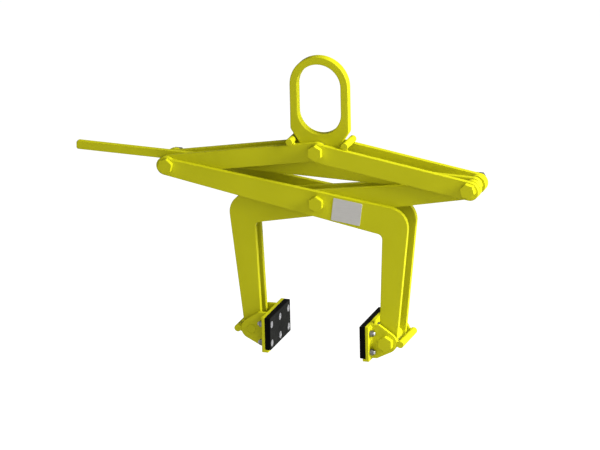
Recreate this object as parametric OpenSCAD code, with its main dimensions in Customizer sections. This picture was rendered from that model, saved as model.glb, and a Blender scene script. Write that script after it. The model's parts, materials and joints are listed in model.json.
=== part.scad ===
// Scissor lifting tongs: a crane eye, two links and two crossed arms on four pivots,
// a latching hand lever, and a swivelling rubber-faced pad carrier on the foot of each arm.
// Millimetres, +Z up, front view along +Y with +X to the right.
// The origin is the inner crown of the eye, where the crane hook bears.

/* [Linkage] */
// Pivot spacing of the links, and of the side and cross pivots on the arms
link_len = 355; // [330:1:390]
// Slope of the links as drawn, with the lever latched over the left spacer tube
rest_angle = 9.5; // [9:0.5:14]

/* [Plates] */
// Thickness of the link and arm plates
plate_t = 12; // [8:1:15]
// Clear width between the inner pair of plates
inner_gap = 25; // [24:1:40]
// Running gap between neighbouring plates
plate_gap = 1; // [0.4:0.2:3]
// Radius of the round ends of the links and of the arms' upper ends
plate_end_r = 21; // [20:0.5:24]
// Distance of an end's centre past the side pivot
side_end_past = 2; // [0:0.5:4]
// Distance of a link's upper end's centre short of the top pivot
top_end_short = 3.5; // [0:0.5:5]
// Radius of the hollow blend from an arm's round end into its top edge
end_blend_r = 12; // [6:1:20]

/* [Links] */
// Height of the straight top edge of a link over its pivot line
link_top = 18; // [14:0.5:20]

/* [Arms] */
// Height of the top edge of an arm over the centre of its round upper end
arm_top = 17.2; // [15:0.2:19.6]
// Distance of the outer elbow corner past the cross pivot
elbow_past = 211; // [200:1:240]
// Height of the outer elbow corner over the pivot line
elbow_rise = 32; // [28:1:40]
// Rounding of the outer elbow corner
elbow_r = 45; // [30:1:60]
// Distance of the inner corner past the cross pivot
crotch_past = 158; // [140:1:170]
// Depth of the inner corner under the pivot line
crotch_drop = 36.8; // [30:0.2:45]
// Rounding of the inner corner
crotch_r = 12; // [8:1:20]
// Distance of the foot pivot past the cross pivot, along the pivot line
foot_past = 208; // [190:1:230]
// Depth of the foot pivot under the pivot line
foot_drop = 277; // [240:1:320]
// Radius of the round foot of an arm
foot_r = 20; // [18:1:23]

/* [Lifting eye] */
// Thickness of the eye plate
eye_t = 20; // [16:1:22]
// Width of the crane opening
eye_in_w = 100; // [80:1:110]
// Height of the crane opening
eye_in_h = 160; // [130:1:165]
// Width of the rim at the sides
eye_rim = 17.5; // [14:0.5:24]
// Height of the rim at the crown
eye_crown = 17.5; // [14:0.5:35]
// Depth of the top pivot under the inner crown
eye_drop = 192.7; // [188:0.1:220]
// Height of the shoulder corner over the top pivot
shoulder_rise = 41; // [36:1:50]
// Rounding of the shoulder corner
shoulder_r = 14; // [4:1:16]
// Half width of the neck where the slope of the shoulder ends
neck_half = 46; // [38:1:47]
// Height of the neck corner over the top pivot
neck_rise = 10; // [4:1:12]
// Rounding of the neck corner
neck_r = 5; // [2:1:8]
// Radius of the round lower end about the top pivot
eye_foot_r = 22; // [18:1:26]

/* [Stop rods on the links] */
// Radius of a stop rod
rod_r = 8; // [6:0.5:9]
// Half length of a stop rod
rod_half = 32; // [30:1:37]
// Place of a stop rod along its link, from the top pivot
rod_along = 60.5; // [60:0.5:70]

/* [Hand lever] */
// Height of the blade between the side pivots, with its round end about the right pivot
blade_h = 38; // [34:1:40]
// Length of the blade at full height, from the right pivot
blade_len = 500; // [440:5:520]
// Length of the slope from the blade down to the handle
blade_taper = 100; // [60:5:110]
// Height of the handle
lever_h = 20; // [18:1:24]
// Height of the handle's underside over the blade's
handle_step = 4.4; // [2:0.2:6]
// Thickness of the lever
lever_t = 12; // [8:1:16]
// Reach of the handle outside the left pivot
lever_out = 223; // [150:1:300]
// Fall of the lever towards the right
lever_tilt = 1.5; // [1.4:0.1:1.7]
// Rounding of the handle's corners
lever_corner_r = 5; // [2:1:9]
// Rounding where the slope meets the blade and the handle
taper_r = 40; // [20:5:60]

/* [Rating plate] */
// Length of the plate
label_w = 67; // [50:1:75]
// Height of the plate
label_h = 52; // [35:1:54]
// Thickness of the plate
label_t = 1; // [0.6:0.2:2]
// Rounding of its corners
label_corner_r = 2; // [1:1:6]
// Distance of its centre past the cross pivot
label_past = 70.4; // [60:0.2:100]
// Depth of its centre under the pivot line
label_drop = 3.3; // [0:0.1:6]

/* [Pivot bolts] */
// Shank radius of the bolts
bolt_r = 10; // [8:0.5:11]
// Width across flats of heads and nuts
bolt_af = 30; // [27:1:32]
// Height of a bolt head
bolt_head_h = 12.5; // [10:0.5:14]
// Height of a nut
nut_h = 12; // [10:0.5:16]
// Length of shank that stands out of a nut
bolt_tail = 4; // [2:0.5:8]
// Chamfer on the end of a shank
tail_chamfer = 1.5; // [0.5:0.5:1.5]
// Chamfer on the flush end of a foot bolt
flush_chamfer = 0.3; // [0.2:0.1:1]
// Turn of the head at the left pivot, anticlockwise in the front view
left_head_turn = -12; // [-30:1:30]
// Turn of the head at the right pivot
right_head_turn = 15; // [-30:1:30]
// Radius of the spacer tubes
spacer_r = 14; // [13:0.5:15]
// Radius of the spacer washers beside the eye
washer_r = 16; // [14:1:17]

/* [Pad carriers] */
// Distance from the foot pivot to the back of the backing plate
backing_set = 35; // [34:0.5:45]
// Thickness of the backing plate
backing_t = 7.5; // [6:0.5:10]
// Thickness of the lip under the rubber
lip_t = 6; // [4:0.5:8]
// Reach of the lip under the rubber
lip_reach = 7; // [5:0.5:10]
// Thickness of the cheeks
cheek_t = 8; // [6:0.5:12]
// Clear width between a cheek and the arm beside it
cheek_gap = 5; // [1:0.5:6]
// Height of the cheeks' top corner over the foot pivot
cheek_top = 40; // [36:1:46]
// Width of the cheeks' flat top, from the backing plate
cheek_top_w = 18.6; // [12:0.2:22]
// Depth of the cheeks' lower edge under the foot pivot
cheek_drop = 38.5; // [34:0.5:41]
// Width of the cheeks' flat bottom, from the backing plate
cheek_bottom_w = 12.5; // [8:0.5:16]
// Radius of the cheeks' tip about the foot pivot
cheek_r = 24; // [23:1:27]
// Rounding of the cheeks' top corner
cheek_top_r = 2; // [1:1:4]
// Rounding of the cheeks' bottom corner
cheek_bottom_r = 8; // [2:1:9]
// Radius of the carrier's stop bar
bar_r = 8; // [6:0.5:9]
// Direction of the stop bar from the foot pivot, under the horizontal
bar_dip = 3; // [0:1:12]

/* [Rubber pads] */
// Length of a pad
pad_len = 140; // [136:1:170]
// Height of a pad
pad_h = 75; // [70:1:90]
// Depth of the pad's lower edge under the foot pivot
pad_drop = 35.5; // [33:0.5:40]
// Thickness of a pad
pad_t = 13.5; // [11:0.5:16]
// Chamfer round the gripping face
pad_chamfer = 1.5; // [0.5:0.5:2]

/* [Pad screws] */
// Spacing of the screws along the pad
screw_pitch = 58; // [58:1:60]
// Spacing of the two rows of screws
screw_rows = 43; // [40:1:48]
// Shank radius of a screw
screw_r = 4; // [3:0.5:4]
// Radius of a screw head
screw_head_r = 8; // [6:0.5:8.5]
// Height of a screw head
screw_head_h = 4.5; // [3:0.5:6]
// Depth of the screw heads under the gripping face
screw_sink = 0.2; // [0.1:0.1:2]
// Radius of the drive socket in a screw head
socket_r = 2.5; // [2:0.5:3]
// Depth of the drive socket
socket_depth = 2; // [1:0.5:2.5]
// Width across flats of a screw's nut
screw_nut_af = 13; // [12:0.5:13.5]
// Height of a screw's nut
screw_nut_h = 8; // [5:0.5:9]
// Length of screw that stands out of its nut
screw_tail = 4; // [1:0.5:6]

/* [Fits] */
// Radial clearance of shanks in bores, tubes and nuts
pin_clear = 0.05; // [0.03:0.01:0.08]
// Gap of a round bar at its weld seat
seat_gap = 0.1; // [0.05:0.05:0.2]
// Side clearance of the eye between its washers and of the lever between its spacer rings
side_clear = 0.2; // [0.1:0.05:0.3]
// Radial clearance of the lever's notch round the left spacer tube, which it leaves sideways
lever_clear = 1.4; // [1.3:0.1:2]
// Radial clearance of screw heads in the rubber
head_clear = 0.1; // [0.05:0.05:0.3]

/* [Hidden] */
$fn = 96;
hex_sides = 6;
// Overshoot of a cutting solid past the faces that it cuts
cut = 1;
// Largest turn between two points of an arc
arc_step = 6;
// Turned flat on top of a head or nut, as a share of the width across flats
chamfer_share = 1.08;
chamfer_angle = 30;
front = -1;
rear = 1;
left = -1;
right = 1;

paint = [0.68, 0.66, 0.08];
zinc = [0.45, 0.45, 0.46];
bright_zinc = [0.75, 0.75, 0.75];
rubber = [0.10, 0.10, 0.11];
plate_grey = [0.70, 0.69, 0.67];

// Inner faces of the two pairs of plates, and the outer face of the outer pair
inner_y = inner_gap / 2;
outer_y = inner_y + plate_t + plate_gap;
stack_y = outer_y + plate_t;

// Pivots in the front view
top_at = [0, -eye_drop];
side_x = link_len * cos(rest_angle);
side_z = top_at[1] - link_len * sin(rest_angle);
cross_z = 2 * side_z - top_at[1];

// Depth of the ends' centres under the pivot line, which sets their crowns level with a link's top
end_drop = plate_end_r - link_top;
// Centre of an arm's upper end, from the side pivot
side_end = [-side_end_past, -end_drop];

// Arm outline, along and over the line from the side pivot to the cross pivot
arm_cross = [link_len, 0];
arm_elbow = [link_len + elbow_past, elbow_rise];
arm_crotch = [link_len + crotch_past, -crotch_drop];
arm_foot = [link_len + foot_past, -foot_drop];
arm_top_start = touch(arm_elbow, side_end, arm_top, right);
arm_top_slope = atan2(arm_elbow[1] - arm_top_start[1], arm_elbow[0] - arm_top_start[0]);

// Foot pivot of the right-foot arm in the front view; the other one is its mirror image
foot_at = [-side_x + arm_foot[0] * cos(rest_angle) + arm_foot[1] * sin(rest_angle),
           side_z - arm_foot[0] * sin(rest_angle) + arm_foot[1] * cos(rest_angle)];

// Carrier, from its foot pivot, with the pad towards -X
backing_x = -backing_set - backing_t;
pad_face_x = backing_x - pad_t;
carrier_low = -pad_drop - lip_t;
screw_spots = [for (y = [-screw_pitch, 0, screw_pitch]) for (z = [-screw_rows / 2, screw_rows / 2]) [y, z]];
washer_t = (inner_gap - eye_t) / 2 - side_clear;

// Inner face of the plates of one side's foot: the right foot is on the outer pair
function foot_y(side) = side == right ? outer_y : inner_y;
function cheek_y(side) = foot_y(side) + plate_t + cheek_gap;

function unit(from, to) = (to - from) / norm(to - from);

// Where the tangent from p touches the circle about c, on its left or right seen from p
function touch(p, c, r, side) =
    let (along = unit(p, c), share = r / norm(c - p))
    c + r * (-side * sqrt(1 - share * share) * [-along[1], along[0]] - share * along);

function heading(from, to) = atan2(to[1] - from[1], to[0] - from[0]);
function ray(angle) = [cos(angle), sin(angle)];
// Turn from one direction to another, anticlockwise
function turn_left(from, to) = (to - from + 720) % 360;
function mirrored(points) = [for (i = [len(points) - 1:-1:0]) [-points[i][0], points[i][1]]];

// Points of the arc of radius r about c that starts in one direction and sweeps on
function arc(c, r, start, sweep) =
    let (steps = ceil(abs(sweep) / arc_step))
    [for (i = [0:steps]) c + r * ray(start + sweep * i / steps)];

// The arc of radius r that rounds the corner at k between a and b
function corner(a, k, b, r) =
    let (to_a = unit(k, a),
         to_b = unit(k, b),
         half = acos(to_a * to_b) / 2,
         centre = k + r / sin(half) * unit([0, 0], to_a + to_b),
         start = heading(centre, k + r / tan(half) * to_a),
         end = heading(centre, k + r / tan(half) * to_b))
    arc(centre, r, start, turn_left(start + 180, end) - 180);

// The arc round c that joins two points on its circle, anticlockwise
function round_end(c, from, to) =
    arc(c, norm(from - c), heading(c, from), turn_left(heading(c, from), heading(c, to)));

// Round plate end about c: the hollow blend out of a top edge at a height and slope, then the
// end itself, anticlockwise to its lowest direction
function blended_end(c, r, height, slope, low) =
    let (reach = r + end_blend_r,
         climb = asin((height + end_blend_r) / reach),
         meet = slope + climb)
    concat(arc(c + reach * ray(meet), end_blend_r, slope - 90, climb - 90),
           arc(c, r, meet, turn_left(meet, low)));

// Rectangle about the origin with rounded corners
function rounded_box(w, h, r) =
    let (ends = [[-w / 2, -h / 2], [w / 2, -h / 2], [w / 2, h / 2], [-w / 2, h / 2]])
    [for (i = [0:3]) each corner(ends[(i + 3) % 4], ends[i], ends[(i + 1) % 4], r)];

// Plate whose outline is drawn in the front view, from y = start to y = start + t
module slab(start, t) {
    translate([0, start + t, 0]) rotate([90, 0, 0]) linear_extrude(t) children();
}

// One plate of a pair, on its front or rear side
module pair_plate(side, face_y, thick = plate_t) {
    slab(side == front ? -face_y - thick : face_y, thick) children();
}

// Round bar along Y at a point of the front view
module bar_y(at, start, end, r) {
    translate([at[0], end, at[1]]) rotate([90, 0, 0]) cylinder(h = end - start, r = r);
}

// Moves what is drawn along a link or an arm to its place
module on_link(side) {
    mirror([side == left ? 1 : 0, 0, 0])
        translate([0, 0, top_at[1]]) rotate([0, rest_angle, 0]) children();
}

module on_arm(foot_side) {
    mirror([foot_side == left ? 1 : 0, 0, 0])
        translate([-side_x, 0, side_z]) rotate([0, rest_angle, 0]) children();
}

module on_foot(side) {
    mirror([side == left ? 1 : 0, 0, 0]) translate([foot_at[0], 0, foot_at[1]]) children();
}

module bores(spots) {
    for (at = spots) translate(at) circle(bolt_r + pin_clear);
}

// Flat bar with full round ends at the top pivot and the side pivot
module link_outline() {
    difference() {
        polygon(concat(arc([top_end_short, -end_drop], plate_end_r, 90, 180),
                       arc([link_len + side_end_past, -end_drop], plate_end_r, -90, 180)));
        bores([[0, 0], [link_len, 0]]);
    }
}

// Side pivot, cross pivot, rounded elbow and a leg that tapers to the round foot
module arm_outline() {
    low_touch = touch(arm_crotch, side_end, plate_end_r, left);
    foot_inner = touch(arm_crotch, arm_foot, foot_r, right);
    foot_outer = touch(arm_elbow, arm_foot, foot_r, left);
    difference() {
        polygon(concat(blended_end(side_end, plate_end_r, arm_top, arm_top_slope,
                                   heading(side_end, low_touch)),
                       corner(low_touch, arm_crotch, foot_inner, crotch_r),
                       round_end(arm_foot, foot_inner, foot_outer),
                       corner(foot_outer, arm_elbow, arm_top_start, elbow_r)));
        bores([[0, 0], arm_cross, arm_foot]);
    }
}

module link_plate(link_side, side) {
    color(paint) on_link(link_side) pair_plate(side, link_side == left ? inner_y : outer_y) link_outline();
}

module arm_plate(foot_side, side) {
    color(paint) on_arm(foot_side) pair_plate(side, foot_y(foot_side)) arm_outline();
}

// Oblong rim with a crane opening, sloping shoulders, a neck and a round end about the top pivot
module eye_outline() {
    half = eye_in_w / 2;
    out = half + eye_rim;
    shoulder = [out, top_at[1] + shoulder_rise];
    neck = [neck_half, top_at[1] + neck_rise];
    foot = touch(neck, top_at, eye_foot_r, left);
    right_flank = concat(corner(foot, neck, shoulder, neck_r),
                         corner(neck, shoulder, [out, 0], shoulder_r));
    difference() {
        polygon(concat(arc([0, eye_crown - out], out, 0, 180), mirrored(right_flank),
                       round_end(top_at, [-foot[0], foot[1]], foot), right_flank));
        polygon(concat(arc([0, -half], half, 0, 180), arc([0, half - eye_in_h], half, 180, 180)));
        bores([top_at]);
    }
}

module lifting_eye() {
    color(paint) slab(-eye_t / 2, eye_t) eye_outline();
}

// Round bar across both plates of a link, on their top edges
module stop_rod(link_side) {
    color(paint) on_link(link_side)
        bar_y([rod_along, link_top + rod_r + seat_gap], -rod_half, rod_half, rod_r);
}

// Lever from the right pivot: a round end, the blade, and the handle past the left pivot
module lever_outline() {
    low = -blade_h / 2;
    handle_low = low + handle_step;
    handle_top = handle_low + lever_h;
    left_at = -2 * side_x * ray(lever_tilt);
    tip_x = left_at[0] - lever_out;
    taper_start = [-blade_len, -low];
    taper_end = [-blade_len - blade_taper, handle_top];
    difference() {
        polygon(concat(arc([0, 0], -low, -90, 180),
                       corner([0, -low], taper_start, taper_end, taper_r),
                       corner(taper_start, taper_end, [tip_x, handle_top], taper_r),
                       corner(taper_end, [tip_x, handle_top], [tip_x, handle_low], lever_corner_r),
                       corner([tip_x, handle_top], [tip_x, handle_low], [0, handle_low], lever_corner_r),
                       [[left_at[0], handle_low], [left_at[0], low]]));
        bores([[0, 0]]);
        translate(left_at) circle(spacer_r + lever_clear);
    }
}

// Flat lever on the right pivot, between the spacer rings, latched over the left spacer tube
module hand_lever() {
    color(paint) translate([side_x, 0, side_z]) rotate([0, lever_tilt, 0])
        slab(-lever_t / 2, lever_t) lever_outline();
}

// Bare plate on the front of the right-foot arm, parallel to the arm's top edge
module rating_plate() {
    color(plate_grey) on_arm(right)
        translate([link_len + label_past, 0, -label_drop]) rotate([0, -arm_top_slope, 0])
            slab(-stack_y - label_t, label_t) polygon(rounded_box(label_w, label_h, label_corner_r));
}

// Hexagon standing on the xy plane with its upper corners turned off
module hexagon(af, h) {
    corner_r = af / 2 / cos(180 / hex_sides);
    flat_r = af / 2 * chamfer_share;
    intersection() {
        cylinder(h = h, r = corner_r, $fn = hex_sides);
        rotate_extrude()
            polygon([[0, 0], [corner_r, 0], [corner_r, h - (corner_r - flat_r) * tan(chamfer_angle)],
                     [flat_r, h], [0, h]]);
    }
}

// Turns a hexagon drawn on the xy plane until two of its flats stand upright
module upright(turn) {
    rotate(180 / hex_sides + turn) children();
}

// Bolt along Y with its head at y = start, towards the front, and its end at y = end
module bolt(at, start, end, turn, chamfer) {
    translate([at[0], start, at[1]]) {
        rotate([90, 0, 0]) upright(turn) hexagon(bolt_af, bolt_head_h);
        rotate([-90, 0, 0]) {
            translate([0, 0, -bolt_head_h / 2])
                cylinder(h = end - start - chamfer + bolt_head_h / 2, r = bolt_r);
            translate([0, 0, end - start - chamfer])
                cylinder(h = chamfer, r1 = bolt_r, r2 = bolt_r - chamfer);
        }
    }
}

module pivot_bolt(at, turn = 0) {
    color(paint) bolt(at, -stack_y, stack_y + nut_h + bolt_tail, turn, tail_chamfer);
}

module pivot_nut(at) {
    color(zinc) translate([at[0], stack_y, at[1]]) rotate([-90, 0, 0]) difference() {
        hexagon(bolt_af, nut_h);
        translate([0, 0, -cut]) cylinder(h = nut_h + 2 * cut, r = bolt_r + pin_clear);
    }
}

// Tube or washer along Y round a bolt
module sleeve(at, start, end, r) {
    difference() {
        bar_y(at, start, end, r);
        bar_y(at, start - cut, end + cut, bolt_r + pin_clear);
    }
}

module spacer(at, half) {
    color(paint) sleeve(at, -half, half, spacer_r);
}

// Ring on each side of the lever, filling the gap between the inner plates
module right_spacers() {
    color(paint) for (side = [0, 1]) mirror([0, side, 0])
        sleeve([side_x, side_z], lever_t / 2 + side_clear, inner_y, spacer_r);
}

module eye_washers() {
    color(zinc) for (side = [0, 1]) mirror([0, side, 0])
        sleeve(top_at, inner_y - washer_t, inner_y, washer_r);
}

module foot_spacer(side) {
    on_foot(side) spacer([0, 0], foot_y(side));
}

// Plate behind the rubber, with a lip under the rubber's lower edge
module backing_plate(side) {
    color(paint) on_foot(side) difference() {
        union() {
            translate([backing_x, -pad_len / 2, carrier_low])
                cube([backing_t, pad_len, pad_h + lip_t]);
            translate([backing_x - lip_reach, -pad_len / 2, carrier_low])
                cube([lip_reach + backing_t / 2, pad_len, lip_t]);
        }
        at_screws(backing_x - cut) cylinder(h = backing_t + 2 * cut, r = screw_r + pin_clear);
    }
}

// Places what is drawn along +Z at each screw, pointing away from the pad's face
module at_screws(x) {
    for (at = screw_spots) translate([x, at[0], at[1]]) rotate([0, 90, 0]) children();
}

// Cheek from the backing plate to a round tip about the foot pivot
module cheek_outline() {
    top_corner = [cheek_top_w - backing_set, cheek_top];
    low_corner = [cheek_bottom_w - backing_set, -cheek_drop];
    top_back = [-backing_set, cheek_top];
    low_back = [-backing_set, -cheek_drop];
    top_touch = touch(top_corner, [0, 0], cheek_r, left);
    low_touch = touch(low_corner, [0, 0], cheek_r, right);
    difference() {
        polygon(concat([low_back], corner(low_back, low_corner, low_touch, cheek_bottom_r),
                       round_end([0, 0], low_touch, top_touch),
                       corner(top_touch, top_corner, top_back, cheek_top_r), [top_back]));
        bores([[0, 0]]);
    }
}

module cheek(carrier_side, side) {
    color(paint) on_foot(carrier_side) pair_plate(side, cheek_y(carrier_side), cheek_t) cheek_outline();
}

// Round bar welded across the tips of both cheeks
module stop_bar(side) {
    half = cheek_y(side) + cheek_t;
    color(paint) on_foot(side) bar_y((cheek_r + bar_r + seat_gap) * ray(-bar_dip), -half, half, bar_r);
}

// Carrier pivot, its end flush with the far cheek; the left one points to the front
module foot_bolt(side) {
    half = cheek_y(side) + cheek_t;
    color(paint) on_foot(side) mirror([0, side == left ? 1 : 0, 0]) bolt([0, 0], -half, half, 0, flush_chamfer);
}

// Block with a chamfered gripping face and stepped holes for the screws
module rubber_pad(side) {
    color(rubber) on_foot(side) difference() {
        intersection() {
            translate([0, 0, -pad_drop]) linear_extrude(pad_h) pad_section(-pad_len / 2, pad_len / 2);
            slab(-pad_len / 2, pad_len) pad_section(-pad_drop, pad_h - pad_drop);
        }
        at_screws(pad_face_x - cut) cylinder(h = pad_t + 2 * cut, r = screw_r + pin_clear);
        at_screws(pad_face_x - cut)
            cylinder(h = cut + screw_sink + screw_head_h, r = screw_head_r + head_clear);
    }
}

// Thickness of the pad against its length or height, with both front edges chamfered
module pad_section(low, high) {
    polygon([[backing_x, low], [pad_face_x + pad_chamfer, low], [pad_face_x, low + pad_chamfer],
             [pad_face_x, high - pad_chamfer], [pad_face_x + pad_chamfer, high], [backing_x, high]]);
}

module pad_screws(side) {
    shank = pad_t - screw_sink + backing_t + screw_nut_h + screw_tail;
    color(bright_zinc) on_foot(side) at_screws(pad_face_x + screw_sink) difference() {
        union() {
            cylinder(h = screw_head_h, r = screw_head_r);
            cylinder(h = shank, r = screw_r);
        }
        translate([0, 0, -cut]) cylinder(h = cut + socket_depth, r = socket_r, $fn = hex_sides);
    }
}

module pad_nuts(side) {
    color(zinc) on_foot(side) at_screws(-backing_set) difference() {
        upright(0) hexagon(screw_nut_af, screw_nut_h);
        translate([0, 0, -cut]) cylinder(h = screw_nut_h + 2 * cut, r = screw_r + pin_clear);
    }
}

lifting_eye();
link_plate(left, front);  // left_link_front
link_plate(left, rear);  // left_link_rear
link_plate(right, front);  // right_link_front
link_plate(right, rear);  // right_link_rear
arm_plate(right, front);  // right_foot_arm_front
arm_plate(right, rear);  // right_foot_arm_rear
arm_plate(left, front);  // left_foot_arm_front
arm_plate(left, rear);  // left_foot_arm_rear
stop_rod(left);  // left_stop_rod
stop_rod(right);  // right_stop_rod
hand_lever();
rating_plate();
pivot_bolt(top_at);  // top_bolt
pivot_bolt([0, cross_z]);  // cross_bolt
pivot_bolt([-side_x, side_z], left_head_turn);  // left_bolt
pivot_bolt([side_x, side_z], right_head_turn);  // right_bolt
pivot_nut(top_at);  // top_nut
pivot_nut([0, cross_z]);  // cross_nut
pivot_nut([-side_x, side_z]);  // left_nut
pivot_nut([side_x, side_z]);  // right_nut
eye_washers();
spacer([0, cross_z], inner_y);  // cross_spacer
spacer([-side_x, side_z], inner_y);  // left_spacer
right_spacers();
foot_spacer(right);  // right_foot_spacer
foot_spacer(left);  // left_foot_spacer
backing_plate(right);  // right_backing_plate
cheek(right, front);  // right_cheek_front
cheek(right, rear);  // right_cheek_rear
stop_bar(right);  // right_stop_bar
foot_bolt(right);  // right_foot_bolt
rubber_pad(right);  // right_rubber_pad
pad_screws(right);  // right_pad_screws
pad_nuts(right);  // right_pad_nuts
backing_plate(left);  // left_backing_plate
cheek(left, front);  // left_cheek_front
cheek(left, rear);  // left_cheek_rear
stop_bar(left);  // left_stop_bar
foot_bolt(left);  // left_foot_bolt
rubber_pad(left);  // left_rubber_pad
pad_screws(left);  // left_pad_screws
pad_nuts(left);  // left_pad_nuts
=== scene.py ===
"""Looks of the scissor lifting tongs: yellow steelwork, zinc fasteners and rubber pads."""

import json
import logging
import math
from collections.abc import Iterable, Sequence
from dataclasses import dataclass, field
from enum import Enum

import bmesh
import bpy
from mathutils import Matrix, Vector

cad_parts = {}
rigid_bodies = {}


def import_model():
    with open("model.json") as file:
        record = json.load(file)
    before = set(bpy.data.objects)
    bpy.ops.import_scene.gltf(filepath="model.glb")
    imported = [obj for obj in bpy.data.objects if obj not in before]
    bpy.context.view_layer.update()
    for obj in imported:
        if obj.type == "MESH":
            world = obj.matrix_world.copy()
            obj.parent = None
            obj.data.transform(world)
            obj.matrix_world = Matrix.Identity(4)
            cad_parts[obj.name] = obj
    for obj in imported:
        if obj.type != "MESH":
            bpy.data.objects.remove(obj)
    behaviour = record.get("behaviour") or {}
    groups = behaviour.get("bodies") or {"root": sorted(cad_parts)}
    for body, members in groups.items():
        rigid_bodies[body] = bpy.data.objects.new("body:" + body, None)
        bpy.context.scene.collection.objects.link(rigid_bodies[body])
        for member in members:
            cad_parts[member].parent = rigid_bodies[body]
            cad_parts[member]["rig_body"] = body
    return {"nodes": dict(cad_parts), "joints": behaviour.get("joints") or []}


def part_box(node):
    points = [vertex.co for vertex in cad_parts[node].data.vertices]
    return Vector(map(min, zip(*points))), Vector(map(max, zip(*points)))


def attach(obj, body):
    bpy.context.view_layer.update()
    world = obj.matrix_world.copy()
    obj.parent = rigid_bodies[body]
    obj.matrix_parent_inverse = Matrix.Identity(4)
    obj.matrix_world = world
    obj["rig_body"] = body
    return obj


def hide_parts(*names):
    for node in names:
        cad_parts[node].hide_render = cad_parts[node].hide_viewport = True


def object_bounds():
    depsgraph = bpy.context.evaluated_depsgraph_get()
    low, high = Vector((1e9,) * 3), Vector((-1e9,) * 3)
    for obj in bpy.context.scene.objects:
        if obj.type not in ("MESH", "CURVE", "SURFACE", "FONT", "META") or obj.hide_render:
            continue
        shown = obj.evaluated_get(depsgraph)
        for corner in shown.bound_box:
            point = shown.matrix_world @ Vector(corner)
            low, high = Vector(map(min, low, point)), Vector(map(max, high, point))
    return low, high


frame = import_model()
CAD_LOW, CAD_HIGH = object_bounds()

MM = 0.001
# Vertices of a CAD mesh nearer than this are one corner
MERGE = 2e-6
# Tolerance for a point that lies on a flat face
ON_FACE = 1e-5
SHARP_ANGLE = math.radians(24)
# Mesh value that blends in painted shade and light: darker paint along the edges, and the rubber's paler lit gripping
# face
EDGE_LAYER = "edge"
HEX_SIDES = 6
# Half the angle of a hexagon's side, in degrees
HALF_SECTOR = 180 / HEX_SIDES
# Share of a hexagon's corner radius that its blunted corners keep
BLUNTED = 0.985
# Points round a pad screw or its nut
SMALL_STEPS = 48
# Part of a noise pattern's range that is put to use
MIDDLE = (0.35, 0.65)

log = logging.getLogger("tongs")


class Side(Enum):
    """Side of the tongs in the front view, as the sign of its X."""

    LEFT = -1
    RIGHT = 1

    @property
    def word(self) -> str:
        """The side as it is spelled in the names of nodes and joints."""
        return self.name.lower()


class Facing(Enum):
    """Which way along Y a face or a fastener looks, as a sign."""

    FRONT = -1
    REAR = 1

    @property
    def word(self) -> str:
        """The direction as it is spelled in the names of nodes."""
        return self.name.lower()


class Slot(Enum):
    """The record's material slots."""

    PAINT = "paint"
    ZINC = "zinc"
    BRIGHT_ZINC = "bright_zinc"
    RUBBER = "rubber"
    PLATE_GREY = "plate_grey"


def pivot_of(joint: str) -> Vector:
    """Gives the place of a joint at rest.

    Args:
        joint: Name of the joint in the frame.

    Returns:
        The point of its axis in the middle of the tongs, in metres.
    """
    return Vector(next(j["pos_m"] for j in frame["joints"] if j["name"] == joint))


def middle_of(node: str) -> Vector:
    """Gives the middle of a node's box in the front view, at Y = 0."""
    low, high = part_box(node)
    return Vector(((low.x + high.x) / 2, 0, (low.z + high.z) / 2))


class Graph:
    """A node tree under construction.

    Attributes:
        tree: The shader or geometry tree that the nodes go into.
    """

    def __init__(self, tree: bpy.types.NodeTree) -> None:
        """Takes the tree over."""
        self.tree = tree

    def feed(self, socket: bpy.types.NodeSocket, value: object) -> None:
        """Links a socket to another one, or sets its value.

        Args:
            socket: The socket to feed.
            value: Another socket, or a plain value.
        """
        if isinstance(value, bpy.types.NodeSocket):
            self.tree.links.new(value, socket)
        else:
            socket.default_value = value

    def add(self, kind: str, inputs: dict[str | int, object] | None = None, **settings: object) -> bpy.types.Node:
        """Adds a node.

        Args:
            kind: Blender's name for the node type.
            inputs: What goes into its sockets, by name or number.
            settings: Properties of the node itself.

        Returns:
            The new node.
        """
        node = self.tree.nodes.new(kind)
        for name, value in settings.items():
            setattr(node, name, value)
        for name, value in (inputs or {}).items():
            self.feed(node.inputs[name], value)
        return node


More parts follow.
